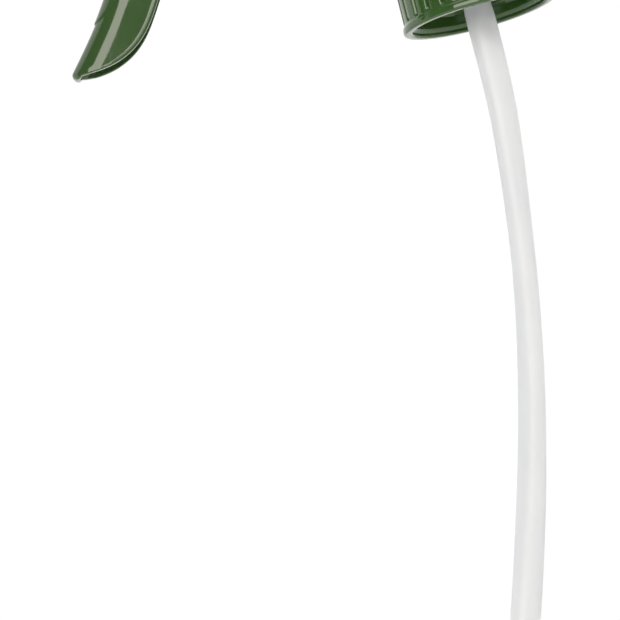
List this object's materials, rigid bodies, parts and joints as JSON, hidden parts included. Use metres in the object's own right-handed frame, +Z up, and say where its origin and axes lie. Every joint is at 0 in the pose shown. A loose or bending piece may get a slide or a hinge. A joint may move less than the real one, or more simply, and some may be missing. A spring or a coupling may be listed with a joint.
{
  "type": "trigger sprayer head",
  "caption": "Hand trigger sprayer head with a long channel-shaped lever, ribbed screw closure and a bowed dip tube.",
  "frame": {"origin": "centre of the plane where the bottle's lip meets the gasket, on the neck axis", "axes": "+Z up the neck axis, -X towards the nozzle, Y across the sprayer"},
  "size_m": [0.1267, 0.0344, 0.2882],
  "materials": {
    "green_plastic": "glossy moulded",
    "natural_plastic": "natural, satin",
    "tube_plastic": "translucent, satin",
    "seal_rubber": "matte",
    "gasket_foam": "fine foam",
    "spring_steel": "drawn wire",
    "ball_steel": "polished"
  },
  "bodies": {
    "head": {"pump_body": "natural_plastic", "shroud": "green_plastic", "tube_retainer": "natural_plastic", "retainer_o_ring": "seal_rubber", "ball_cage": "natural_plastic", "bottle_gasket": "gasket_foam", "dip_tube": "tube_plastic", "trigger_pin": "spring_steel", "spring_seat": "natural_plastic", "return_spring": "spring_steel", "barrel_plug": "natural_plastic", "discharge_spring": "spring_steel", "nozzle_base": "natural_plastic", "spinner": "natural_plastic", "nozzle_seal": "seal_rubber"},
    "closure": {"closure": "green_plastic"},
    "trigger": {"trigger": "green_plastic", "drive_pin": "spring_steel"},
    "piston": {"piston": "natural_plastic", "piston_seal": "seal_rubber", "wiper_seal": "seal_rubber"},
    "intake_ball": {"intake_ball": "ball_steel"},
    "discharge_valve": {"discharge_valve": "natural_plastic"},
    "nozzle_cap": {"nozzle_cap": "green_plastic"}
  },
  "joints": [
    {"name": "trigger_swing", "type": "hinge", "parent": "head", "child": "trigger", "pos_m": [-0.057, 0, 0.045], "axis": [0, -1, 0], "range_deg": [0, 24], "stiffness_Nm_per_rad": 0.45, "springref_deg": -17.19},
    {"name": "piston_stroke", "type": "slide", "parent": "head", "child": "piston", "axis": [1, 0, 0], "range_m": [0, 0.0103], "deforming": ["return_spring"]},
    {"name": "nozzle_turn", "type": "hinge", "parent": "head", "child": "nozzle_cap", "pos_m": [-0.09, 0, 0.054], "axis": [-1, 0, 0], "continuous": true},
    {"name": "closure_spin", "type": "hinge", "parent": "head", "child": "closure", "pos_m": [0, 0, 0], "axis": [0, 0, 1], "continuous": true},
    {"name": "intake_lift", "type": "slide", "parent": "head", "child": "intake_ball", "axis": [0, 0, 1], "range_m": [0, 0.0014]},
    {"name": "discharge_lift", "type": "slide", "parent": "head", "child": "discharge_valve", "axis": [-1, 0, 0], "range_m": [0, 0.0012], "stiffness_N_per_m": 60, "springref_m": -0.002, "deforming": ["discharge_spring"]}
  ],
  "couplings": [
    {"joint": "piston_stroke", "follows": "trigger_swing", "m_per_rad": 0.02454}
  ]
}
